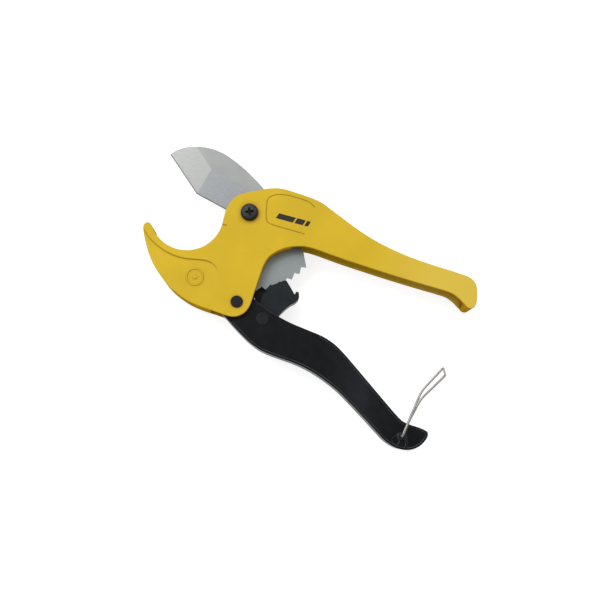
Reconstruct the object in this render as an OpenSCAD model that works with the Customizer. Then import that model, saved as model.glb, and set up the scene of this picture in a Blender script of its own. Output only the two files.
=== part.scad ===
// Ratchet cutter for plastic pipe: a cast body with a slotted hook and upper handle, a pivoted
// blade with a toothed tail, a lower handle that drives the tail through a pawl, and a wire latch.
// Frame, in mm: the blade pivot is the Z axis, X runs along the upper handle, Z = 0 is the plane
// the cutter lies on. The drawing shows the handles spread and the blade swung open.

/* [Body] */
// thickness of the cast body from its far face to its near face
body_t = 18; // [17:0.5:19]
// thickness of the body's cheeks beside the lower handle and along the upper handle
cheek_t = 2.4; // [2:0.1:2.6]
// thickness of the upper handle's top web
web_t = 2.8; // [2.4:0.1:3.4]
// width of the slot that the blade swings in
slot_w = 3.2; // [3.1:0.05:3.4]
// radius of the jaw that the pipe lies in
jaw_r = 22.1; // [21.6:0.1:22.4]
// height of the step along the hook's edge
step_h = 0.5; // [0.3:0.1:0.7]

/* [Blade] */
// thickness of the blade
blade_t = 2.4; // [2.2:0.1:2.5]
// width of the ground facet along the outer cutting edge
facet_w = 16.2; // [14:0.2:17]
// width of the ground facet along the inner cutting edge
heel_facet_w = 18; // [15:0.2:19]
// thickness left at the cutting edges
edge_t = 0.3; // [0.2:0.05:0.6]
// radius of the circle through the ratchet tooth tips
tooth_tip_r = 47.2; // [46.6:0.1:47.2]
// depth of a ratchet tooth
tooth_depth = 2.35; // [2:0.05:2.6]
// angle from one ratchet tooth to the next
tooth_pitch = 7.05; // [6.8:0.05:7.1]
// number of ratchet teeth
tooth_count = 13; // [11:1:13]

/* [Blade pivot] */
// radius of the pivot screw's thread and shank
screw_r = 2.5; // [2.4:0.05:2.6]
// radius of the pivot screw's pan head
screw_head_r = 5.25; // [4.8:0.05:5.6]
// height of the pivot screw's pan head
screw_head_h = 2.6; // [2:0.1:3]
// distance across the flats of the lock nut
nut_flats = 8; // [7.6:0.1:8.4]

/* [Lower handle] */
// width of the lower handle over its cheeks
handle_t = 12.6; // [12.2:0.1:12.6]
// thickness of the lower handle's cheeks
handle_cheek_t = 2; // [1.8:0.1:2.1]
// thickness of the lower handle's outer web
handle_web_t = 2.2; // [1.8:0.1:2.8]
// height of the rim round the lower handle's side faces
rim_h = 0.4; // [0.3:0.05:0.5]
// radius of the handle pivot rivet's shank
rivet_r = 2.5; // [2.3:0.05:2.6]
// radius of the handle pivot rivet's near head
rivet_head_r = 3.6; // [3.3:0.1:3.9]
// radius of the pawl rivet's shank
pawl_rivet_r = 1.9; // [1.7:0.05:2]
// radius of the pawl rivet's heads
pawl_head_r = 3.7; // [3.3:0.1:4]

/* [Latch] */
// diameter of the latch wire
wire_d = 1.5; // [1.3:0.1:1.6]
// radius of the eyelet's flanges
eyelet_flange_r = 2.3; // [2.1:0.1:2.8]

/* [Output] */
// sub-part to draw, or all of them

/* [Hidden] */

far_z = 2.2;                        // the body's far face stands this high on the nut and rivet
near_z = far_z + body_t;
mid_z = far_z + body_t / 2;         // plane of the blade
eps = 0.5;                          // overshoot of a cut past a face
fit = 0.05;                         // radial play of a pin in its hole
thin = 0.02;                        // play of a part held between two faces

jaw_c = [-35, -14.3];               // centre of the jaw
handle_c = [12, -53.9];             // handle pivot
pawl_c = [29.9, -57.8];             // pawl pivot
latch_c = [130.9, -95];             // latch pivot

blade_lo = mid_z - blade_t / 2;
blade_hi = mid_z + blade_t / 2;
slot_lo = mid_z - slot_w / 2;
slot_hi = mid_z + slot_w / 2;
handle_lo = mid_z - handle_t / 2;
handle_hi = mid_z + handle_t / 2;
chan_lo = handle_lo + handle_cheek_t;
chan_hi = handle_hi - handle_cheek_t;
face_lo = handle_lo + rim_h;        // the handle's side faces inside its rims
face_hi = handle_hi - rim_h;
wire_r = wire_d / 2;
eyelet_r = 1.6;                     // eyelet's barrel

sleeve_r = 4;                       // blade pivot sleeve
sleeve_reach = 2;                   // how far the sleeve sits in each half of the body
spring_wire_r = 0.65;
pawl_side_t = 2.1;                  // thickness of the pawl's cheeks
pawl_lo = chan_lo + 0.3;
pawl_hi = chan_hi - 0.3;

// ---- curves ------------------------------------------------------------------------------

function blend(a, b, c, d, t) =
    0.5 * (2 * b + (c - a) * t + (2 * a - 5 * b + 4 * c - d) * t * t
    + (3 * b - a - 3 * c + d) * t * t * t);

// a smooth curve through the points p with n steps from each to the next, last point left out
function run(p, n = 4) = [
    for (i = [0:len(p) - 2]) for (k = [0:n - 1])
        blend(
            i > 0 ? p[i - 1] : 2 * p[0] - p[1], p[i], p[i + 1],
            i < len(p) - 2 ? p[i + 2] : 2 * p[i + 1] - p[i], k / n)
];

function arc_pts(c, r, a0, a1, n) = [
    for (k = [0:n]) c + r * [cos(a0 + (a1 - a0) * k / n), sin(a0 + (a1 - a0) * k / n)]
];

function unit(v) = v / norm(v);

// one ring of a wire's surface round the point c, square to the direction d
function ring(c, d, side, r, n) = let (u = unit(side - (side * d) * d), v = cross(d, u)) [
    for (k = [0:n - 1]) c + r * (cos(360 * k / n) * u + sin(360 * k / n) * v)
];

// the side directions of a wire, carried along its path without twist
function carried(dirs, i, side) =
    i == len(dirs) ? [] : let (s = unit(side - (side * dirs[i]) * dirs[i]))
        concat([s], carried(dirs, i + 1, s));

module wire(path, r, n, side) {
    last = len(path) - 1;
    dirs = [for (i = [0:last]) unit(path[min(i + 1, last)] - path[max(i - 1, 0)])];
    sides = carried(dirs, 0, side);
    pts = [for (i = [0:last]) each ring(path[i], dirs[i], sides[i], r, n)];
    walls = [
        for (i = [0:last - 1]) for (k = [0:n - 1])
            let (a = i * n + k, b = i * n + (k + 1) % n) each [[a, b, b + n], [a, b + n, a + n]]
    ];
    ends = [[for (k = [n - 1:-1:0]) k], [for (k = [0:n - 1]) last * n + k]];
    polyhedron(points = pts, faces = concat([for (f = walls) [f[0], f[2], f[1]]],
        [for (f = ends) [for (k = [n - 1:-1:0]) f[k]]]), convexity = 6);
}

// a coil round the Z axis through c, with a straight leg off each end
function coil(c, r, z0, z1, turns, a0, leg0, leg1, steps = 15) = let (
    total = 360 * turns,
    n = ceil(steps * turns),
    turn = [for (k = [0:n]) let (a = a0 + total * k / n)
        [c[0] + r * cos(a), c[1] + r * sin(a), z0 + (z1 - z0) * k / n]],
    d0 = [sin(a0), -cos(a0), 0],
    d1 = [-sin(a0 + total), cos(a0 + total), 0]
) concat([turn[0] + leg0 * d0], turn, [turn[n] + leg1 * d1]);

module rod(c, r, z0, z1) {
    translate([c[0], c[1], z0]) cylinder(h = z1 - z0, r = r, $fn = 64);
}

module slab(z0, z1) {
    translate([0, 0, z0]) linear_extrude(z1 - z0) children();
}

// ---- cast body ---------------------------------------------------------------------------

// head and upper handle from the jaw's upper lip round to the neck, then the lobe and the hook
module body_outline() {
    head = [
        [-13.4, -8.5], [-13.9, -3.5], [-13, 2.6], [-10.4, 7.4], [-5.8, 11.2], [1, 15.3],
        [7, 18.8], [13.6, 21], [22.2, 21.5], [30.2, 21.7], [38.1, 21.3], [45.8, 19.1],
        [55.2, 16.1], [64.7, 13.2], [74.4, 10.8], [84.2, 9.2], [94.1, 8.3], [104, 7.95],
        [114, 8.1], [124, 8.55], [133, 8.9], [139.3, 8.6], [143.3, 6.4], [145.5, 2.6],
        [146.9, -2], [147.4, -6], [146.4, -8.5], [143.8, -9.3], [140.3, -7.6], [136.1, -5.5],
        [131.2, -4.2], [124, -4.4], [114, -5.1], [102.2, -5.8], [90, -6.4], [78.4, -6.8],
        [66, -7.2], [54.5, -7.3], [46, -7.3], [38.7, -8], [33, -10.1], [27.9, -13.1],
        [23.6, -17.1], [20.6, -21.5], [19.4, -27], [19.4, -34], [19.7, -42], [20.1, -49.6]
    ];
    lobe = [
        [20.1, -49.6], [20, -53.9], [18.7, -58.2], [15.3, -61.9], [10.4, -63.6], [2, -63.8],
        [-6.1, -64.1], [-14, -63.7], [-21.4, -62.1], [-28.8, -59.4], [-35.6, -55.3],
        [-42, -50.6], [-47.6, -44.9], [-52.4, -38.5], [-55.7, -33.3], [-57, -30],
        [-56.6, -28.1], [-55, -26.9], [-53.2, -27.4], [-51.6, -28.9]
    ];
    polygon(concat(run(head), run(lobe), arc_pts(jaw_c, jaw_r, 221.5, 372, 44)));
}

// where the blade and its toothed tail sweep
module blade_room() {
    circle(r = tooth_tip_r + 0.8, $fn = 96);
    difference() {
        polygon(concat([[0, 0]], arc_pts([0, 0], 63.8, 130, 231, 36)));
        circle(r = 10, $fn = 32);
    }
    polygon(concat([[0, 0]], arc_pts([0, 0], 70, 130, 216, 24)));
}

// room for the lower handle's front, open below the lobe
module handle_room() {
    translate(handle_c) circle(r = 13.4, $fn = 72);
    translate(handle_c + [-13.4, -22]) square([26.8, 22]);
}

// hollow of the upper handle, open along its lower side
module grip_room() {
    intersection() {
        union() {
            offset(delta = -web_t) body_outline();
            translate([0, -7]) offset(delta = -web_t) body_outline();
        }
        translate([31, -30]) square([110.6, 60]);
    }
}

// the lower level of the near face outside a strip along the jaw, rising to nothing on the lobe
module low_face() {
    edge = [
        [-60, -28], [-55.8, -31.8], [-52, -34.8], [-47.8, -37], [-43.2, -38.7], [-37.9, -40],
        [-32, -40.4], [-26.4, -39.9], [-21.1, -38.5], [-15.9, -37.1], [-12.2, -36.7],
        [-8.8, -37.5], [-5.8, -39.4], [-3.9, -42.2], [-2.8, -46]
    ];
    low = near_z - step_h;
    intersection() {
        slab(low - eps, near_z + eps)
            polygon(concat(run(edge), [[-2.8, -46], [-2.8, -70], [-70, -70]]));
        rotate([90, 0, 0]) linear_extrude(80) polygon([
            [-75, low], [-11, low], [-3.4, near_z], [-3.4, near_z + eps], [-75, near_z + eps]
        ]);
    }
}

// a strip of width w along the points p
function band(p, w) = let (
    last = len(p) - 1,
    side = [for (i = [0:last]) let (d = unit(p[min(i + 1, last)] - p[max(i - 1, 0)]))
        w / 2 * [-d[1], d[0]]]
) concat([for (i = [0:last]) p[i] + side[i]], [for (i = [last:-1:0]) p[i] - side[i]]);

// shallow grooves of the near face: the line round the head's side panel and the jaw's gauge line
module face_grooves() {
    panel = [
        [36.1, 16.9], [31.6, 18.7], [25, 18.8], [18.5, 18.2], [13.7, 17], [9.4, 14.7], [7.6, 11.4],
        [8.5, 7.2], [9.9, 2.4], [11.5, -1], [14.5, -2.3], [23.3, -1.9], [30.8, -1.3], [38.4, -0.9]
    ];
    slab(near_z - 0.25, near_z + eps) polygon(band(run(panel, 3), 0.5));
    slab(near_z - 0.3, near_z + eps) polygon(band([[-13.6, -12.7], [-9.9, -12.3]], 0.5));
}

// a plain raised ring and dot on the lobe
module mould_mark() {
    ring_c = [-16.8, -48.4];
    low = near_z - step_h;
    tube(ring_c, 4.6, 5.3, low - 0.6, low + 0.25);
    rod(ring_c, 1.3, low - 0.6, low + 0.25);
}

module main_body() {
    color([0.84, 0.71, 0.21]) {
        cast_body();
        mould_mark();
    }
}

module cast_body() {
    difference() {
        slab(far_z, near_z) body_outline();
        low_face();
        face_grooves();
        slab(slot_lo, slot_hi) blade_room();
        slab(far_z + cheek_t, near_z - cheek_t) handle_room();
        slab(far_z + cheek_t, near_z - cheek_t) grip_room();
        rod([0, 0], screw_r + 0.1, far_z - eps, near_z + eps);
        rod([0, 0], sleeve_r + fit, slot_lo - sleeve_reach - 0.1, slot_hi + sleeve_reach + 0.1);
        rod([0, 0], 6, far_z - eps, far_z + 2.4);
        rod(handle_c, rivet_r + fit, far_z - eps, near_z + eps);
        spring_pocket();
    }
}

// ring-shaped pocket in the far half of the head, with a straight seat for the spring's leg
module spring_pocket() {
    difference() {
        rod([0, 0], 12.2, slot_lo - 3.6, slot_lo + eps);
        rod([0, 0], 8.6, slot_lo - 4, slot_lo + 1);
    }
    translate([9.4, -16, slot_lo - 3.6]) cube([2.8, 16, 3.6 + eps]);
}

// ---- blade and its pivot -----------------------------------------------------------------

blade_tip = [-60.2, 19.6];
edge_corner = [-35.6, 1.7];
edge_heel = [-12, -1.8];

// tips and roots of the ratchet teeth, from the tail's upper end round
function teeth() = [
    for (k = [0:tooth_count - 1]) let (
        a = -22.55 - k * tooth_pitch,
        tip = tooth_tip_r * [cos(a), sin(a)],
        root = (tooth_tip_r - tooth_depth) * [cos(a - 2.45), sin(a - 2.45)]
    ) each k < tooth_count - 1 ? [tip, root] : [tip]
];

module blade_outline() {
    spine = [
        [-60.2, 19.6], [-57.6, 23.1], [-53.4, 26.6], [-47.6, 29.5], [-41, 31.3], [-34.2, 31.9],
        [-27.4, 31.2], [-20.3, 29.2], [-13.6, 26.8], [-6.6, 23.6], [0, 20.2], [6.6, 16],
        [13.4, 10.6], [20.6, 5.2], [28, -0.6], [34.4, -5.6]
    ];
    // the tail's inner side follows the jaw's wall when the blade is wide open
    inner = [
        [-14.4, -43.6], [-10.4, -40], [-6.6, -33], [-5.6, -25], [-7.2, -17], [-10.2, -9],
        edge_heel
    ];
    polygon(concat(
        run(spine), [[34.4, -5.6], [39, -10.5]], teeth(), run(inner, 3), [edge_heel, edge_corner]
    ));
}

// takes a ground facet of width w off the near side of the blade along the edge from p to q
module ground(p, q, w) {
    d = unit(q - p);
    slope = atan((blade_t - edge_t) / 2 / w);
    translate([p[0], p[1], mid_z + edge_t / 2])
        rotate([0, 0, atan2(d[1], d[0])])
            rotate([slope, 0, 0])
                translate([-40, -8, 0]) cube([120, 60, 6]);
}

module both_sides() {
    children();
    translate([0, 0, 2 * mid_z]) mirror([0, 0, 1]) children();
}

// the facets stop short of the pivot
module facet_limit() {
    slab(0, 30) polygon([
        [-70, -10], [-70, 40], [-12.5, 40], [-10.4, 18.2], [-9.3, 13], [-10.4, 7], [-12.8, -10]
    ]);
}

module cutting_blade() {
    color([0.7, 0.71, 0.71])
    difference() {
        slab(blade_lo, blade_hi) blade_outline();
        both_sides() intersection() {
            ground(blade_tip, edge_corner, facet_w);
            facet_limit();
        }
        both_sides() intersection() {
            ground(edge_corner, edge_heel, heel_facet_w);
            facet_limit();
        }
        rod([0, 0], sleeve_r + fit, blade_lo - eps, blade_hi + eps);
        rod([7.8, 8.2], 1.1, blade_lo - eps, blade_hi + eps);
    }
}

module cross_recess() {
    for (a = [27, 117])
        rotate([0, 0, a]) polygon([
            [-2.7, -0.4], [-0.8, -0.8], [0.8, -0.8], [2.7, -0.4], [2.7, 0.4], [0.8, 0.8],
            [-0.8, 0.8], [-2.7, 0.4]
        ]);
}

module blade_pivot_screw() {
    color([0.13, 0.12, 0.12])
    difference() {
        union() {
            rod([0, 0], screw_r, 0, near_z + 0.5);
            translate([0, 0, near_z]) rotate_extrude($fn = 64) polygon(concat(
                [[0, 0], [screw_head_r, 0]],
                arc_pts([screw_head_r - 1.3, screw_head_h - 1.3 - 0.35], 1.3, 0, 72, 5),
                [[0, screw_head_h]]
            ));
        }
        slab(near_z + screw_head_h - 1.9, near_z + screw_head_h + eps) cross_recess();
    }
}

module tube(c, r0, r1, z0, z1) {
    difference() {
        rod(c, r1, z0, z1);
        rod(c, r0, z0 - eps, z1 + eps);
    }
}

module blade_pivot_sleeve() {
    color([0.55, 0.55, 0.56])
        tube([0, 0], screw_r + fit, sleeve_r, slot_lo - sleeve_reach, slot_hi + sleeve_reach);
}

module blade_washer_near() {
    color([0.75, 0.75, 0.74]) tube([0, 0], sleeve_r + fit, 8, blade_hi + thin, slot_hi - thin);
}

module blade_washer_far() {
    color([0.75, 0.75, 0.74]) tube([0, 0], sleeve_r + fit, 8, slot_lo + thin, blade_lo - thin);
}

module blade_return_spring() {
    color([0.6, 0.6, 0.62]) wire(
        coil([0, 0], 10.5, slot_lo - 2.8, slot_lo - 1, 1.25, 0, 13, 1),
        spring_wire_r, 8, [0, 0, 1]);
}

module pivot_nut_washer() {
    color([0.6, 0.6, 0.6])
        tube([0, 0], screw_r + 0.15, 5.4, far_z + 2.4 - thin - 0.8, far_z + 2.4 - thin);
}

nut_hi = far_z + 2.4 - 2 * thin - 0.8;

module pivot_lock_nut() {
    color([0.55, 0.55, 0.57])
    difference() {
        translate([0, 0, 0]) cylinder(h = nut_hi, r = nut_flats / 2 / cos(30), $fn = 6);
        rod([0, 0], screw_r + thin, -eps, nut_hi + eps);
        rod([0, 0], screw_r + 0.9, 0.5, 1.9);
    }
}

module nut_nylon_ring() {
    color([0.85, 0.86, 0.9])
        tube([0, 0], screw_r + thin, screw_r + 0.9 - thin, 0.5 + thin, 1.9 - thin);
}

// ---- lower handle ------------------------------------------------------------------------

module handle_outline() {
    lower = [
        [8.9, -64.7], [14.4, -67.7], [21.5, -71.2], [28.5, -74.2], [36.4, -76.1], [46, -76.4],
        [56, -76.3], [65.6, -77.1], [75.4, -79.2], [86.7, -82.9], [97.5, -88], [108.1, -93.4],
        [116.5, -97.8], [123, -101], [130.2, -102.5], [137.4, -101.3], [142.6, -97.3],
        [145.2, -92.1], [145.4, -88.6], [143.8, -87.1], [139, -86.7], [133, -86.9], [127.8, -86.2],
        [120.3, -82.3], [113.4, -78.3], [106.4, -74.3], [99.5, -70.3], [92.6, -66.3],
        [84, -61.4], [75.6, -57.4], [67.2, -55.4], [58, -54.9], [48.4, -54.5], [41, -53.7],
        [36.5, -52.8], [31, -52], [28, -50.8], [24.3, -49.9], [21.4, -48.6], [18.6, -46.2]
    ];
    polygon(concat(run(lower, 3), arc_pts(handle_c, 11.2, 56, 250, 32)));
}

// hollow of the lower handle, open towards the upper handle and the blade's tail
module handle_hollow() {
    up = [10, 17.3];
    difference() {
        union() {
            offset(delta = -handle_web_t) handle_outline();
            for (k = [0.2, 0.4])
                translate(k * up) offset(delta = -handle_web_t) handle_outline();
        }
        translate([126, -110]) square([30, 40]);
    }
    circle(r = tooth_tip_r + 0.8, $fn = 96);
    translate([20, -62]) square([16, 20]);
}

// what stands up on the handle's side faces: rims along the edges, a rib by the latch, a boss
module handle_rims() {
    rib = [
        [132.3, -86.5], [132.7, -90.6], [133, -92.8], [134.1, -95.5], [135.2, -98], [135.6, -102.4]
    ];
    intersection() {
        handle_outline();
        union() {
            difference() {
                square([400, 400], center = true);
                offset(delta = -1.3) handle_outline();
                polygon([[0, -30], [66, -30], [66, -62], [30, -62], [15.2, -64.6], [0, -80]]);
            }
            difference() {
                polygon(band(rib, 1));
                translate(latch_c) circle(r = eyelet_flange_r + 0.25, $fn = 48);
            }
            translate(handle_c) circle(r = 7, $fn = 48);
        }
    }
}

// fan-shaped pocket beside the eyelet
module fan_pocket() {
    polygon(concat([[128.8, -93.4]], arc_pts(latch_c, 6.3, 218, 262, 8), [[131.4, -95.6]]));
}

module lower_handle() {
    color([0.11, 0.12, 0.13])
    difference() {
        slab(handle_lo, handle_hi) handle_outline();
        slab(chan_lo, chan_hi) handle_hollow();
        both_sides() {
            slab(face_hi, handle_hi + eps) difference() {
                offset(delta = 1) handle_outline();
                handle_rims();
            }
            slab(face_hi - 0.35, handle_hi + eps) difference() {
                fan_pocket();
                translate(latch_c) circle(r = eyelet_flange_r + 0.2, $fn = 48);
            }
        }
        rod(handle_c, rivet_r + fit, handle_lo - eps, handle_hi + eps);
        rod(pawl_c, pawl_rivet_r + fit, handle_lo - eps, handle_hi + eps);
        rod(latch_c, eyelet_r + fit, handle_lo - eps, handle_hi + eps);
    }
}

module handle_pivot_rivet() {
    color([0.17, 0.17, 0.18])
    difference() {
        union() {
            rod(handle_c, rivet_r, far_z - 0.5, near_z + 0.5);
            rod(handle_c, rivet_head_r, near_z, near_z + 0.8);
            rod(handle_c, 4.1, 0, far_z);
        }
        rod(handle_c, 1.1, -eps, 1.2);
    }
}

module handle_pivot_sleeve() {
    color([0.5, 0.5, 0.52]) tube(handle_c, rivet_r + fit, 3.4, chan_lo + thin, chan_hi - thin);
}

module handle_spring() {
    color([0.45, 0.45, 0.47]) wire(
        coil(handle_c, 4.6, chan_lo + 0.9, chan_hi - 0.9, 4.25, 225, 6.2, 6.4),
        spring_wire_r, 8, [0, 0, 1]);
}

// ---- pawl --------------------------------------------------------------------------------

// near cheek, just clear of the tooth tips' line, with the thumb tab's side
module pawl_near_cheek() {
    side = [
        [25.2, -49], [26, -44.4], [25.7, -41.6], [26, -39.2], [27.4, -37], [29.6, -35],
        [32, -32.9], [33.8, -31.3], [35.1, -30.5], [39.3, -33.9], [42.9, -37], [44.2, -39.4],
        [43.2, -42.6], [41.2, -45.9], [39.4, -49.4], [37.4, -54]
    ];
    polygon(concat(side, arc_pts(pawl_c, 5.4, 0, -180, 24), [[24.3, -54]]));
}

// far cheek, reaching further behind the teeth
module pawl_far_cheek() {
    side = [
        [20.4, -46.6], [19.95, -43.4], [19.85, -41.3], [20.4, -39], [24.8, -35.6], [28.2, -32.9],
        [31.4, -30.1], [33.8, -29.2], [39.3, -33.9], [42.9, -37], [44.2, -39.4], [43.2, -42.6],
        [41.2, -45.9], [39.4, -49.4], [37.4, -54]
    ];
    polygon(concat(side, arc_pts(pawl_c, 5.4, 0, -180, 24), [[24.3, -54]]));
}

// the wall that joins the cheeks behind the teeth, ending in the curled tab
module pawl_back() {
    polygon([
        [36.9, -31.9], [39.9, -34.4], [42.8, -36.9], [42.9, -35.8], [42.8, -34.8], [43.6, -34.2],
        [44.8, -35.1], [45.9, -37.4], [45.9, -39.6], [44.7, -41.8], [42.6, -44], [40.8, -46.8],
        [39.4, -49.6], [37.9, -48.8], [39.3, -45.9], [41.2, -42.8], [42.2, -40.2], [41.6, -38.4],
        [38.8, -36], [35.9, -33.4]
    ]);
}

// the driving nose, just clear of the tooth tips
module pawl_nose() {
    polygon([[27, -39.6], [29.4, -40.6], [30.6, -44], [29.4, -48], [25.2, -48], [25, -43.6]]);
}

// takes the bend's corner off the near side of the wall from p to q
module fold_cut(p, q, c) {
    d = unit(q - p);
    translate([p[0], p[1], pawl_hi - c])
        rotate([0, 0, atan2(d[1], d[0])])
            rotate([45, 0, 0])
                translate([0, -4, 0]) cube([norm(q - p), 10, 4]);
}

module ratchet_pawl() {
    color([0.15, 0.16, 0.17])
    difference() {
        union() {
            slab(pawl_lo, pawl_lo + pawl_side_t) pawl_far_cheek();
            slab(pawl_hi - pawl_side_t, pawl_hi) pawl_near_cheek();
            slab(pawl_lo, pawl_hi) pawl_back();
            slab(pawl_lo, pawl_hi) pawl_nose();
        }
        both_sides() fold_cut([42.6, -36.75], [34.4, -29.9], 1);
        rod(pawl_c, pawl_rivet_r + fit, pawl_lo - eps, pawl_hi + eps);
    }
}

module pawl_rivet() {
    color([0.16, 0.17, 0.18]) {
        rod(pawl_c, pawl_rivet_r, face_lo - 0.2, face_hi + 0.2);
        rod(pawl_c, pawl_head_r, face_hi, face_hi + 0.6);
        rod(pawl_c, pawl_head_r, face_lo - 0.6, face_lo);
    }
}

module pawl_bush() {
    color([0.5, 0.5, 0.52]) tube(pawl_c, pawl_rivet_r + fit, 2.6,
        pawl_lo + pawl_side_t + thin, pawl_hi - pawl_side_t - thin);
}

module pawl_spring() {
    color([0.45, 0.45, 0.47]) wire(
        coil(pawl_c, 3.3, pawl_lo + pawl_side_t + 0.6, pawl_hi - pawl_side_t - 0.6, 2.25, 200, 2.5, 5),
        0.4, 8, [0, 0, 1]);
}

// ---- latch -------------------------------------------------------------------------------

module latch_eyelet() {
    color([0.3, 0.3, 0.31])
    difference() {
        union() {
            rod(latch_c, eyelet_r, face_lo - 0.2, face_hi + 0.2);
            rod(latch_c, eyelet_flange_r, face_hi + thin, face_hi + 0.6);
            rod(latch_c, eyelet_flange_r, face_lo - 0.6, face_lo - thin);
        }
        rod(latch_c, wire_r + fit, 0, near_z);
    }
}

// a bent path: each corner of the list rounded over the reach given with it
function rounded(p, i = 0) =
    i == len(p) ? [] : concat(
        p[i][1] == 0 ? [p[i][0]] : let (
            a = p[i][0] + p[i][1] * unit(p[i - 1][0] - p[i][0]),
            b = p[i][0] + p[i][1] * unit(p[i + 1][0] - p[i][0])
        ) [for (k = [0:6]) let (t = k / 6)
            (1 - t) * (1 - t) * a + 2 * t * (1 - t) * p[i][0] + t * t * b],
        rounded(p, i + 1));

module latch_bail() {
    top = mid_z * 2 - wire_r;
    low = wire_r;
    pin = [latch_c[0], latch_c[1], 0];
    color([0.78, 0.78, 0.77]) {
        rod(latch_c, wire_r + 0.02, low + 2.6, top - 2.6);
        wire(rounded([
            [pin + [0, 0, top - 2.7], 0], [pin + [0, 0, top], 2.4],
            [[132.9, -66.4, top], 4], [[140.7, -48.9, top], 2.2],
            [[146.9, -49.8, low], 2.2], [[137.1, -69, low], 4],
            [[134.1, -88.5, low], 3], [pin + [0, 0, low], 2.4], [pin + [0, 0, low + 2.7], 0]
        ]), wire_r, 16, [1, 0, 0]);
    }
}

main_body();
cutting_blade();
blade_pivot_screw();
blade_pivot_sleeve();
blade_washer_near();
blade_washer_far();
blade_return_spring();
pivot_nut_washer();
pivot_lock_nut();
nut_nylon_ring();
lower_handle();
handle_pivot_rivet();
handle_pivot_sleeve();
handle_spring();
ratchet_pawl();
pawl_rivet();
pawl_bush();
pawl_spring();
latch_eyelet();
latch_bail();
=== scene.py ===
import math

import bmesh
import bpy
from mathutils import Matrix, Vector


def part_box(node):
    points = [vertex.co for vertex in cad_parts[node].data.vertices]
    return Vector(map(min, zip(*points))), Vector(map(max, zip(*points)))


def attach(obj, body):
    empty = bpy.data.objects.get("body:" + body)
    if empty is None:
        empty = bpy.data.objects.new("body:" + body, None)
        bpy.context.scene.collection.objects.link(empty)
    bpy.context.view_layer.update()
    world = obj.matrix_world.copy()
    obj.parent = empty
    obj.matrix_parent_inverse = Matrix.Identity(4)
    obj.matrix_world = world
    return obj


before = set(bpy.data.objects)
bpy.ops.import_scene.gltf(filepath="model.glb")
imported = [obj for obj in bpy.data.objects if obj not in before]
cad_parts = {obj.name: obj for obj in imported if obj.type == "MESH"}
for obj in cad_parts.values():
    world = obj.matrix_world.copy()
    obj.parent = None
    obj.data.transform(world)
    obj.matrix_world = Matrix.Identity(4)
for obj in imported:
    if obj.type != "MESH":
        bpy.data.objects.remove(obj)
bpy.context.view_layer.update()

MM = 0.001          # the frame is in metres


# ---- helpers: colours, node graphs, meshes ----------------------------------------------------

def linear(rgb):
    """An sRGB colour of 0..255 as linear light."""
    out = []
    for v in rgb:
        v = v / 255
        out.append(v / 12.92 if v <= 0.04045 else ((v + 0.055) / 1.055) ** 2.4)
    return (*out, 1.0)


MIX_A, MIX_B, MIX_RESULT = 6, 7, 2          # the Mix node's colour sockets


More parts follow.
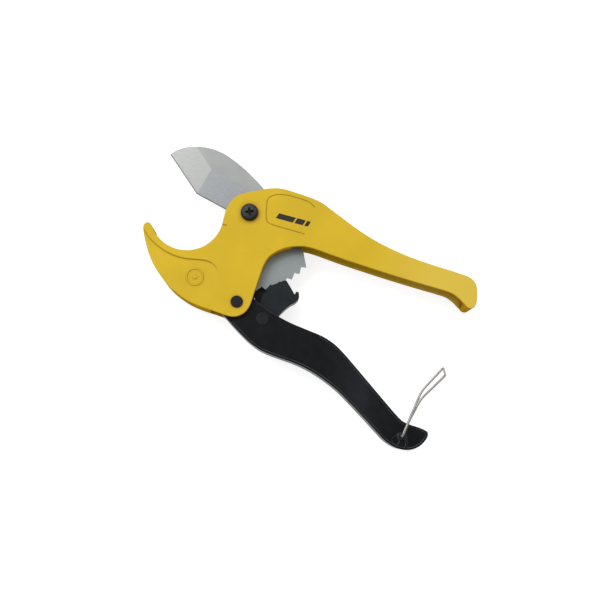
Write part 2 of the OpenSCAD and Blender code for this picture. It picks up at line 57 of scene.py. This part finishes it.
class Graph:
    """A short way to build a material's nodes."""

    def __init__(self, name):
        self.mat = bpy.data.materials.new(name)
        self.mat.use_nodes = True
        self.tree = self.mat.node_tree
        self.tree.nodes.clear()
        self.out = self.add("ShaderNodeOutputMaterial")
        self.bsdf = self.add("ShaderNodeBsdfPrincipled")
        self.link(self.bsdf.outputs["BSDF"], self.out.inputs["Surface"])
        self.coord = self.add("ShaderNodeTexCoord")

    def add(self, kind, **props):
        node = self.tree.nodes.new(kind)
        for key, value in props.items():
            setattr(node, key, value)
        return node

    def link(self, a, b):
        self.tree.links.new(a, b)

    def put(self, node, which, value):
        """Sets an input to a number, a colour or another node's output."""
        socket = node.inputs[which]
        if isinstance(value, bpy.types.NodeSocket):
            self.link(value, socket)
        else:
            socket.default_value = value

    def scaled(self, scale):
        """The object's coordinates, stretched by a scale for each axis."""
        node = self.add("ShaderNodeMapping")
        self.link(self.coord.outputs["Object"], node.inputs["Vector"])
        node.inputs["Scale"].default_value = scale
        return node.outputs["Vector"]

    def noise(self, scale, detail=3.0, rough=0.55, vector=None):
        node = self.add("ShaderNodeTexNoise")
        node.inputs["Scale"].default_value = scale
        node.inputs["Detail"].default_value = detail
        node.inputs["Roughness"].default_value = rough
        self.link(vector or self.coord.outputs["Object"], node.inputs["Vector"])
        return node.outputs["Fac"]

    def voronoi(self, scale):
        node = self.add("ShaderNodeTexVoronoi")
        node.inputs["Scale"].default_value = scale
        self.link(self.coord.outputs["Object"], node.inputs["Vector"])
        return node.outputs["Distance"]

    def maths(self, op, a, b=0.0):
        node = self.add("ShaderNodeMath", operation=op)
        self.put(node, 0, a)
        self.put(node, 1, b)
        return node.outputs[0]

    def span(self, value, lo, hi, to_lo=0.0, to_hi=1.0):
        """A value between lo and hi as one between to_lo and to_hi, held there outside them."""
        node = self.add("ShaderNodeMapRange", clamp=True)
        self.link(value, node.inputs["Value"])
        for name, v in (("From Min", lo), ("From Max", hi), ("To Min", to_lo), ("To Max", to_hi)):
            node.inputs[name].default_value = v
        return node.outputs["Result"]

    def mix(self, fac, a, b):
        """Colour a where the factor is 0 and colour b where it is 1."""
        node = self.add("ShaderNodeMix", data_type="RGBA")
        self.put(node, "Factor", fac)
        self.put(node, MIX_A, a)
        self.put(node, MIX_B, b)
        return node.outputs[MIX_RESULT]

    def cloudy(self, fac, lo, hi, colour, spread):
        """The colour, a little darker where the factor is below lo and lighter above hi."""
        dark, light = ((*(min(1, c * k) for c in colour[:3]), 1) for k in (1 - spread, 1 + spread))
        return self.mix(self.span(fac, lo, hi), dark, light)

    def bump(self, height, distance, normal=None):
        node = self.add("ShaderNodeBump")
        node.inputs["Distance"].default_value = distance
        node.inputs["Strength"].default_value = 0.5
        self.link(height, node.inputs["Height"])
        if normal:
            self.link(normal, node.inputs["Normal"])
        return node.outputs["Normal"]

    def rounded(self, radius):
        """The surface's normal with edges rounded over the radius."""
        node = self.add("ShaderNodeBevel", samples=6)
        node.inputs["Radius"].default_value = radius
        return node.outputs["Normal"]

    def edges(self, radius):
        """1 on a surface's edges and 0 from the radius inwards."""
        own = self.add("ShaderNodeNewGeometry")
        dot = self.add("ShaderNodeVectorMath", operation="DOT_PRODUCT")
        self.link(self.rounded(radius), dot.inputs[0])
        self.link(own.outputs["Normal"], dot.inputs[1])
        return self.span(dot.outputs["Value"], 0.8, 0.985, 1, 0)

    def xyz(self, source=None):
        node = self.add("ShaderNodeSeparateXYZ")
        self.link(source or self.coord.outputs["Object"], node.inputs[0])
        return node.outputs

    def finish(self, **values):
        """Sets the Principled inputs, with _ for a space, and gives the material."""
        for name, value in values.items():
            self.put(self.bsdf, name.replace("_", " "), value)
        return self.mat


# ---- materials --------------------------------------------------------------------------------

def paint(name, colour, crease_shade, grip_sheen, side_shade):
    """Powder coat on a casting: orange peel, cloudy tone, painted shade in creases and gaps and on
    the side walls, and a painted sheen at the grip end.
    """
    g = Graph(name)
    base = g.cloudy(g.noise(38, 3), 0.35, 0.65, colour, 0.05)
    dark = (*(c * 0.95 for c in colour[:3]), 1)
    base = g.mix(g.span(g.noise(1500, 2), 0.3, 0.7, 0, 0.18), base, dark)
    flat = g.span(g.maths("ABSOLUTE", g.xyz(g.coord.outputs["Normal"])[2]), 0.3, 0.8)
    # Painted sheen: the flat faces turn paler towards the grip end, standing for a soft highlight on
    # its rounded face.
    grip = g.span(g.xyz()[0], 78 * MM, 118 * MM, 0, 0.9)
    base = g.mix(g.maths("MULTIPLY", grip, flat), base, grip_sheen)
    # Painted shade: the side walls take a more orange copy of the yellow, standing for the bounced
    # light and shade on them.
    base = g.mix(flat, side_shade, base)
    # Painted shade: the paint turns dark brown where ambient occlusion finds surfaces close by, in
    # creases, gaps and slots.
    near = g.add("ShaderNodeAmbientOcclusion", samples=6)
    near.inputs["Distance"].default_value = 3.6 * MM
    base = g.mix(g.span(near.outputs["AO"], 0.35, 0.95, 0.85, 0), base, crease_shade)
    peel = g.maths("ADD", g.noise(900, 2), g.maths("MULTIPLY", g.noise(2600, 2), 0.35))
    return g.finish(
        Base_Color=base, Roughness=g.span(g.noise(260, 3), 0.3, 0.7, 0.35, 0.47),
        Specular_IOR_Level=g.span(flat, 0, 1, 0, 0.14),
        Normal=g.bump(peel, 0.04 * MM, g.rounded(0.9 * MM)))


def plastic(name, colour, rough, level, spread=0.18, edge_highlight=None, palm_sheen=None):
    """Fine-textured coating, with painted highlights along its edges and a painted sheen along the
    middle of the grip.
    """
    g = Graph(name)
    base = g.cloudy(g.noise(60, 4), 0.3, 0.7, colour, spread)
    # Painted sheen: a paler patch along the middle of the grip, standing for a soft highlight on the
    # satin face.
    if palm_sheen:
        x = g.xyz()[0]
        start, middle, end = 74 * MM, 100 * MM, 124 * MM
        sheen_span = g.maths("MULTIPLY", g.span(x, start, middle), g.span(x, middle, end, 1, 0))
        patchy = g.span(g.noise(45, 3), 0.35, 0.6, 0.4, 1)
        base = g.mix(g.maths("MULTIPLY", sheen_span, patchy), base, palm_sheen)
    # Painted highlights: a lighter colour along the edges, convex and concave alike, where the rims
    # would catch the lamps.
    if edge_highlight:
        patchy = g.span(g.noise(110, 3), 0.35, 0.6, 0.45, 1)
        base = g.mix(g.maths("MULTIPLY", g.edges(0.45 * MM), patchy), base, edge_highlight)
    cells = g.voronoi(2200)
    height = g.maths("ADD", g.maths("MULTIPLY", cells, 0.6), g.noise(1400, 2))
    return g.finish(
        Base_Color=base, Roughness=g.span(g.noise(180, 3), 0.3, 0.7, rough - 0.06, rough + 0.08),
        Specular_IOR_Level=level, Normal=g.bump(height, 0.03 * MM, g.rounded(0.4 * MM)))


def metal(name, colour, rough):
    """Drawn or turned metal, lightly mottled."""
    g = Graph(name)
    mottle = g.noise(400, 4, 0.6)
    return g.finish(
        Base_Color=g.cloudy(mottle, 0.35, 0.65, colour, 0.06), Metallic=1.0,
        Roughness=g.span(g.noise(120, 3), 0.3, 0.7, rough - 0.05, rough + 0.07),
        Normal=g.bump(mottle, 0.01 * MM))


# The blade's cutting edge: its tip, the corner between the two ground edges, and the heel.
BLADE_EDGE = [Vector(p) * MM for p in ((-60.2, 19.6), (-35.6, 1.7), (-12.0, -1.8))]


def blade_steel():
    """Blade steel: the outer facet painted lighter as a reflection, the other ground facets darker, a
    blasted grey flat, and a painted shadow along the cutting edges.
    """
    g = Graph("blade_steel")
    n = g.xyz(g.coord.outputs["Normal"])
    at = g.xyz()
    upright = g.maths("ABSOLUTE", n[2])
    steep = g.span(upright, 0.9985, 0.9997, 1, 0)      # the facets are ground at only a few degrees
    side_on = g.span(upright, 0.5, 0.9, 1, 0)
    # Painted reflection: the outer facet, told by its normal, is coloured lighter for the lamp it
    # mirrors.
    outer = g.maths("MULTIPLY", steep, g.span(n[0], -0.03, -0.02, 1, 0))
    flat = g.mix(g.span(g.noise(70, 4), 0.35, 0.65), linear((144, 146, 145)), linear((153, 155, 153)))
    rear = g.mix(g.noise(90, 3), linear((140, 151, 151)), linear((150, 159, 158)))
    flat = g.mix(g.span(at[1], -12 * MM, 8 * MM, 1, 0), flat, rear)
    fine = g.noise(2400, 2)
    flat = g.mix(g.span(fine, 0.3, 0.7, 0, 0.25), flat, linear((136, 140, 139)))
    lines = g.noise(260, 4, 0.6, g.scaled((1, 9, 1)))
    ground = g.mix(g.span(lines, 0.35, 0.65), linear((146, 150, 153)), linear((156, 160, 163)))
    outer_reflection = g.mix(g.span(lines, 0.35, 0.65), linear((154, 157, 155)), linear((163, 165, 162)))
    base = g.mix(steep, flat, ground)
    base = g.mix(outer, base, outer_reflection)
    # Painted shadow: a dark band just inside each cutting edge, from the tip to the heel, stands for
    # the shade along the edge.
    edge_lines = []
    for p, q in zip(BLADE_EDGE, BLADE_EDGE[1:]):
        along = (q - p).normalized()
        across = Vector((-along.y, along.x))
        by_x, by_y = (g.maths("MULTIPLY", at[i], across[i]) for i in (0, 1))
        edge = p.dot(across)
        edge_lines.append(
            g.span(g.maths("ADD", by_x, by_y), edge + 0.35 * MM, edge + 0.8 * MM, 1, 0))
    edge_shadow = g.maths("MAXIMUM", *edge_lines)
    edge_shadow = g.maths("MULTIPLY", edge_shadow, g.span(at[0], -11.5 * MM, -11 * MM, 0.85, 0))
    base = g.mix(edge_shadow, base, linear((78, 76, 76)))
    base = g.mix(side_on, base, linear((150, 152, 152)))
    height = g.maths("ADD", g.maths("MULTIPLY", lines, steep), g.maths("MULTIPLY", fine, 0.5))
    return g.finish(
        Base_Color=base, Metallic=0.85, Roughness=g.span(steep, 0, 1, 0.46, 0.42),
        Normal=g.bump(height, 0.012 * MM))


def screw_black():
    """Black oxide in a mottled tone, with painted shade on the rim of the head and in the recess."""
    g = Graph("black_screw")
    at = g.xyz()
    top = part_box("blade_pivot_screw")[1].z
    r = g.add("ShaderNodeVectorMath", operation="LENGTH")
    g.link(g.scaled((1, 1, 0)), r.inputs[0])
    r = r.outputs["Value"]          # from the pivot, which is the frame's origin
    tone = g.span(g.noise(300, 4), 0.35, 0.65)
    base = g.mix(tone, linear((38, 40, 44)), linear((52, 53, 56)))
    # Painted shade: the rim of the domed head is darker, where it turns away from the light.
    base = g.mix(g.span(r, 3.6 * MM, 4.8 * MM), base, linear((20, 16, 14)))
    # Painted shade: near black inside the cross recess.
    recess_shade = g.maths(
        "MULTIPLY", g.span(at[2], top - 0.7 * MM, top - 0.45 * MM, 1, 0),
        g.span(r, 3 * MM, 3.2 * MM, 1, 0))
    base = g.mix(recess_shade, base, linear((5, 5, 6)))
    return g.finish(
        Base_Color=base, Metallic=0.3, Roughness=g.span(g.noise(200, 3), 0.3, 0.7, 0.32, 0.44),
        Specular_IOR_Level=0.3, Normal=g.bump(g.noise(1600, 2), 0.01 * MM))


MATS = {
    # Painted light in the body's paint: shade in its creases and on its side walls, and a sheen at
    # the grip end.
    "body_yellow": paint(
        "body_yellow", linear((204, 171, 38)), crease_shade=linear((124, 76, 5)),
        grip_sheen=linear((214, 184, 70)), side_shade=linear((217, 166, 28))),
    "blade_steel": blade_steel(),
    "black_screw": screw_black(),
    "zinc_steel": metal("zinc_steel", linear((190, 192, 190)), 0.3),
    "nylon": plastic("nylon", linear((150, 165, 205)), 0.4, 0.5, spread=0.05),
    # Painted light in the black coatings: the lighter edge colours of the handle, pawl and eyelet are
    # painted highlights, and the handle's paler middle is a painted sheen.
    "handle_black": plastic(
        "handle_black", linear((10, 13, 16)), 0.36, 0.18, edge_highlight=linear((104, 107, 110)),
        palm_sheen=linear((31, 32, 36))),
    "pawl_black": plastic("pawl_black", linear((25, 29, 33)), 0.36, 0.22, edge_highlight=linear((62, 65, 68))),
    "print_black": plastic("print_black", linear((30, 29, 24)), 0.5, 0.3, spread=0.1),
    "rivet_black": plastic("rivet_black", linear((29, 28, 31)), 0.4, 0.16),
    "spring_steel": metal("spring_steel", linear((120, 122, 126)), 0.32),
    "eyelet_dark": plastic(
        "eyelet_dark", linear((26, 28, 31)), 0.34, 0.3, edge_highlight=linear((96, 98, 104))),
    "latch_wire": metal("latch_wire", linear((160, 158, 154)), 0.42),
}


# ---- CAD nodes: rounded edges, smooth faces, materials ------------------------------------------

def smooth_group():
    """A node group that shades smooth and keeps edges sharper than the given angle."""
    group = bpy.data.node_groups.new("smooth_by_angle", "GeometryNodeTree")
    group.interface.new_socket("Geometry", in_out="INPUT", socket_type="NodeSocketGeometry")
    group.interface.new_socket("Geometry", in_out="OUTPUT", socket_type="NodeSocketGeometry")
    group.interface.new_socket("Angle", in_out="INPUT", socket_type="NodeSocketFloat")
    make, link = group.nodes.new, group.links.new
    first, last = make("NodeGroupInput"), make("NodeGroupOutput")
    faces, edges = make("GeometryNodeSetShadeSmooth"), make("GeometryNodeSetShadeSmooth")
    faces.domain, edges.domain = "FACE", "EDGE"
    edges.inputs["Shade Smooth"].default_value = False
    measure = make("GeometryNodeInputMeshEdgeAngle")
    over = make("FunctionNodeCompare")
    over.data_type, over.operation = "FLOAT", "GREATER_THAN"
    link(measure.outputs["Unsigned Angle"], over.inputs[0])
    link(first.outputs["Angle"], over.inputs[1])
    link(first.outputs["Geometry"], faces.inputs["Geometry"])
    link(faces.outputs["Geometry"], edges.inputs["Geometry"])
    link(over.outputs["Result"], edges.inputs["Selection"])
    link(edges.outputs["Geometry"], last.inputs["Geometry"])
    return group


SMOOTH = smooth_group()
BEVEL_ABOVE = 35        # degrees; sharper edges are rounded
KEEP_ABOVE = 32         # degrees; sharper edges stay sharp in the shading
BLADE_KEEP_ABOVE = 1.5  # the blade's ground facets meet at small angles


def soften(obj, width, segments, keep):
    """Welds the node's triangles, merges flat ones, rounds its edges and smooths its curved walls."""
    weld = obj.modifiers.new("weld", "WELD")
    weld.merge_threshold = 2e-6
    if width:
        flat = obj.modifiers.new("flat", "DECIMATE")
        flat.decimate_type = "DISSOLVE"
        flat.angle_limit = math.radians(0.4)
        bevel = obj.modifiers.new("bevel", "BEVEL")
        bevel.width = width * MM
        bevel.segments = segments
        bevel.limit_method = "ANGLE"
        bevel.angle_limit = math.radians(BEVEL_ABOVE)
        bevel.use_clamp_overlap = True
        bevel.miter_outer = "MITER_ARC"
        bevel.harden_normals = False
    shade = obj.modifiers.new("smooth", "NODES")
    shade.node_group = SMOOTH
    for item in SMOOTH.interface.items_tree:
        if item.name == "Angle":
            shade[item.identifier] = math.radians(keep)
    even = obj.modifiers.new("normals", "WEIGHTED_NORMAL")
    even.mode = "FACE_AREA"
    even.weight = 80
    even.keep_sharp = True


LOOK = {
    # node: (material, edge radius in mm, segments)
    "main_body": ("body_yellow", 0.55, 3),
    "cutting_blade": ("blade_steel", 0.0, 1),
    "blade_pivot_screw": ("black_screw", 0.12, 2),
    "blade_pivot_sleeve": ("zinc_steel", 0.1, 1),
    "blade_washer_near": ("zinc_steel", 0.0, 1),
    "blade_washer_far": ("zinc_steel", 0.0, 1),
    "blade_return_spring": ("spring_steel", 0.0, 1),
    "pivot_nut_washer": ("zinc_steel", 0.1, 1),
    "pivot_lock_nut": ("zinc_steel", 0.25, 2),
    "nut_nylon_ring": ("nylon", 0.1, 1),
    "lower_handle": ("handle_black", 0.35, 2),
    "handle_pivot_rivet": ("rivet_black", 0.25, 2),
    "handle_pivot_sleeve": ("zinc_steel", 0.1, 1),
    "handle_spring": ("spring_steel", 0.0, 1),
    "ratchet_pawl": ("pawl_black", 0.3, 2),
    "pawl_rivet": ("pawl_black", 0.2, 2),
    "pawl_bush": ("zinc_steel", 0.0, 1),
    "pawl_spring": ("spring_steel", 0.0, 1),
    "latch_eyelet": ("eyelet_dark", 0.15, 2),
    "latch_bail": ("latch_wire", 0.0, 1),
}

for node, (mat, width, segments) in LOOK.items():
    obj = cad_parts[node]
    for slot in obj.material_slots:
        slot.material = MATS[mat]
    if not obj.material_slots:
        obj.data.materials.append(MATS[mat])
    soften(obj, width, segments, BLADE_KEEP_ABOVE if node == "cutting_blade" else KEEP_ABOVE)


# ---- a plain printed mark on the head -----------------------------------------------------------

RIVET_PROUD = 0.8 * MM      # the handle rivet's head stands this far off the near face


def rounded_face(bm, corners, radius):
    """A face on z = 0 with the given corners, rounded."""
    face = bm.faces.new([bm.verts.new((x, y, 0)) for x, y in corners])
    bmesh.ops.bevel(
        bm, geom=list(face.verts), offset=radius, segments=3, affect="VERTICES", profile=0.5)


def new_object(name, bm, material):
    """An object in the scene made from the bmesh, with one material."""
    mesh = bpy.data.meshes.new(name)
    bm.to_mesh(mesh)
    bm.free()
    mesh.materials.append(material)
    obj = bpy.data.objects.new(name, mesh)
    bpy.context.scene.collection.objects.link(obj)
    return obj


def printed_mark():
    """Three slanted bars of falling length, printed on the head's side panel."""
    bm = bmesh.new()
    high, lean, gap, thick = 3.4 * MM, 1.1 * MM, 1.0 * MM, 0.05 * MM
    x = -10.2 * MM
    for length in (10.6 * MM, 5.2 * MM, 2.2 * MM):
        low, top = -high / 2, high / 2
        rounded_face(
            bm, [(x, low), (x + length, low), (x + length + lean, top), (x + lean, top)], 0.35 * MM)
        x += length + gap
    for face in list(bm.faces):
        made = bmesh.ops.extrude_face_region(bm, geom=[face])
        raised = [v for v in made["geom"] if isinstance(v, bmesh.types.BMVert)]
        bmesh.ops.translate(bm, verts=raised, vec=(0, 0, thick))
    bmesh.ops.recalc_face_normals(bm, faces=bm.faces)
    mark = new_object("printed_mark", bm, MATS["print_black"])
    near_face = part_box("handle_pivot_rivet")[1].z - RIVET_PROUD
    place = Matrix.Translation((26.2 * MM, 4.9 * MM, near_face))
    mark.matrix_world = place @ Matrix.Rotation(math.radians(5), 4, "Z")
    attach(mark, "body")


printed_mark()


# ---- stage: floor, lights, camera ---------------------------------------------------------------

CENTRE = Vector((45, -40, 10)) * MM                     # of the cutter as it lies
TURN = Matrix.Rotation(math.radians(20), 3, "Z")        # from the camera's axes to the frame's


def white_floor():
    """A pale floor that doesn't light the undersides, so that they stay dark."""
    g = Graph("floor_white")
    base = g.mix(g.span(g.noise(6, 2), 0.3, 0.7), (0.44, 0.44, 0.44, 1), (0.46, 0.46, 0.46, 1))
    white = g.finish(
        Base_Color=base, Roughness=0.9, Specular_IOR_Level=0.1, Emission_Color=(1, 1, 1, 1),
        Emission_Strength=0.77)
    bm = bmesh.new()
    bmesh.ops.create_grid(bm, x_segments=2, y_segments=2, size=8.0)
    floor = new_object("floor", bm, white)
    floor.location = (50 * MM, -40 * MM, -0.1 * MM)
    floor.visible_diffuse = False


def softbox(name, direction, distance, side, power):
    """A square area light that faces the cutter from a direction given in the camera's axes."""
    light = bpy.data.lights.new(name, "AREA")
    light.shape = "RECTANGLE"
    light.size = light.size_y = side
    light.energy = power
    obj = bpy.data.objects.new(name, light)
    bpy.context.scene.collection.objects.link(obj)
    away = (TURN @ Vector(direction)).normalized()
    obj.location = CENTRE + away * distance
    obj.rotation_mode = "QUATERNION"
    obj.rotation_quaternion = away.to_track_quat("Z", "Y")


# The world's brightness from straight down (0) over the horizon (0.5) to straight up (1). The dim
# patch at the top is what the blade's flats mirror.
SKY = (
    (0, (0.3, 0.29, 0.28)), (0.49, (0.3,) * 3), (0.51, (0.55,) * 3), (0.72, (0.6,) * 3),
    (0.9, (0.6,) * 3), (0.965, (0.38,) * 3), (1, (0.3, 0.3, 0.305)))


def studio_world():
    world = bpy.data.worlds.new("studio")
    bpy.context.scene.world = world
    world.use_nodes = True
    tree = world.node_tree
    tree.nodes.clear()
    make, link = tree.nodes.new, tree.links.new
    direction, split = make("ShaderNodeTexCoord"), make("ShaderNodeSeparateXYZ")
    half, ramp = make("ShaderNodeMath"), make("ShaderNodeValToRGB")
    background, out = make("ShaderNodeBackground"), make("ShaderNodeOutputWorld")
    half.operation = "MULTIPLY_ADD"
    half.inputs[1].default_value = half.inputs[2].default_value = 0.5
    link(direction.outputs["Generated"], split.inputs[0])
    link(split.outputs["Z"], half.inputs[0])
    link(half.outputs[0], ramp.inputs["Fac"])
    link(ramp.outputs["Color"], background.inputs["Color"])
    link(background.outputs["Background"], out.inputs["Surface"])
    stops = ramp.color_ramp.elements
    for place, _ in SKY[1:-1]:
        stops.new(place)
    for stop, (place, colour) in zip(stops, SKY):
        stop.position, stop.color = place, (*colour, 1)


def camera():
    """The camera above the cutter, about 9 degrees off square to it."""
    data = bpy.data.cameras.new("camera")
    data.sensor_width, data.lens = 36, 50.7
    data.clip_start, data.clip_end = 0.01, 20
    cam = bpy.data.objects.new("camera", data)
    bpy.context.scene.collection.objects.link(cam)
    away = Vector((27 / 845, 130 / 845, 1)).normalized()        # the frame's Z seen from the camera
    across = (Vector((1, 0, 0)) - away * away.x).normalized()
    tilt = Matrix((across, away.cross(across), away))
    place = Matrix.Translation(Vector((58.6, -117.5, 519.6)) * MM)
    cam.matrix_world = place @ (TURN @ tilt).to_4x4()
    bpy.context.scene.camera = cam
    bpy.context.scene.view_settings.view_transform = "Standard"


white_floor()
softbox("key", (-0.75, 0.65, 0.95), 1.4, 1.1, 13)
softbox("fill", (0.35, 0.9, 1.1), 1.5, 1.2, 6)
studio_world()
camera()
